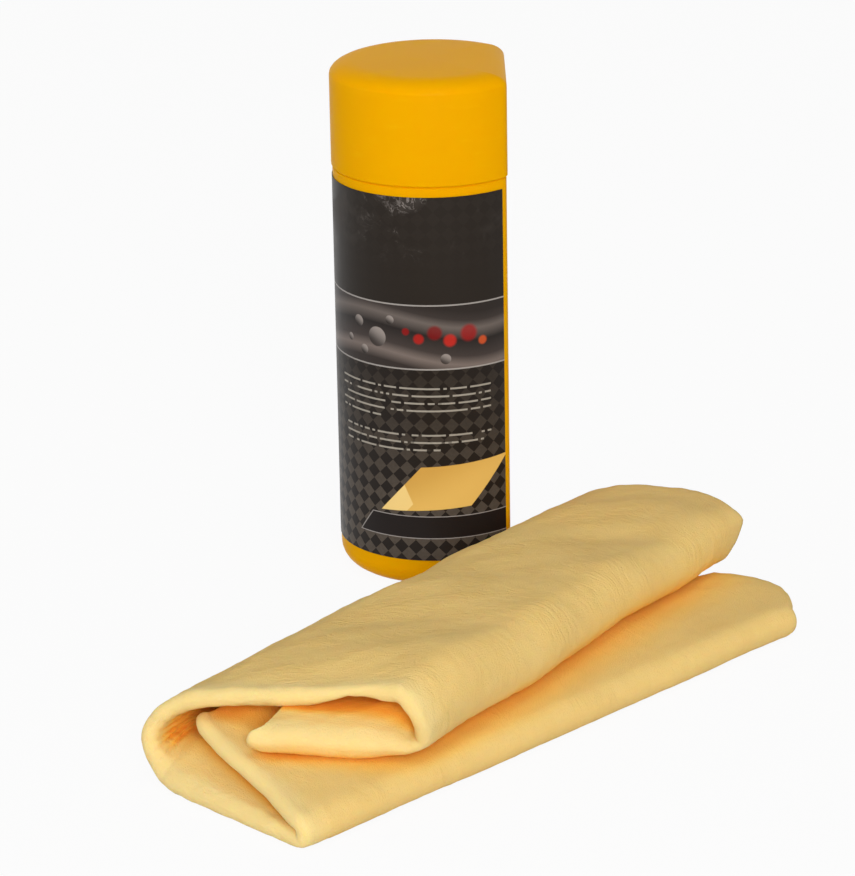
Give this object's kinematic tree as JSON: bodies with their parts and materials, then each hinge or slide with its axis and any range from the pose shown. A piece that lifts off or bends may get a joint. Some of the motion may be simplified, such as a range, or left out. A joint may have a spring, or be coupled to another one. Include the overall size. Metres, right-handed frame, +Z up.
{
  "type": "synthetic chamois cloth with canister",
  "caption": "Soft synthetic chamois drying cloth, doubled and loosely folded, with the D-section storage canister, push-on cap and wrap label that keep it damp.",
  "frame": {"origin": "middle of the set's footprint, on the surface that the canister and the folded cloth rest on", "axes": "+Z up along the canister's axis; +X the way the canister's flat side faces; +Y from the folded cloth at the front to the canister at the back"},
  "size_m": [0.2064, 0.2736, 0.1762],
  "materials": {
    "yellow_plastic": "satin moulded polypropylene",
    "label_film": "printed film with a soft sheen",
    "chamois": "matt, soft, finely wrinkled"
  },
  "bodies": {
    "canister": {"canister_body": "yellow_plastic", "printed_label": "label_film"},
    "cap": {"push_cap": "yellow_plastic"},
    "cloth": {"chamois_cloth": "chamois"}
  },
  "joints": [
    {"name": "cap_lift", "type": "slide", "parent": "canister", "child": "cap", "axis": [0, 0, 1], "range_m": [0, 0.1]},
    {"name": "cloth_lift", "type": "slide", "parent": "canister", "child": "cloth", "axis": [0, 0, 1], "range_m": [0, 0.2]}
  ]
}
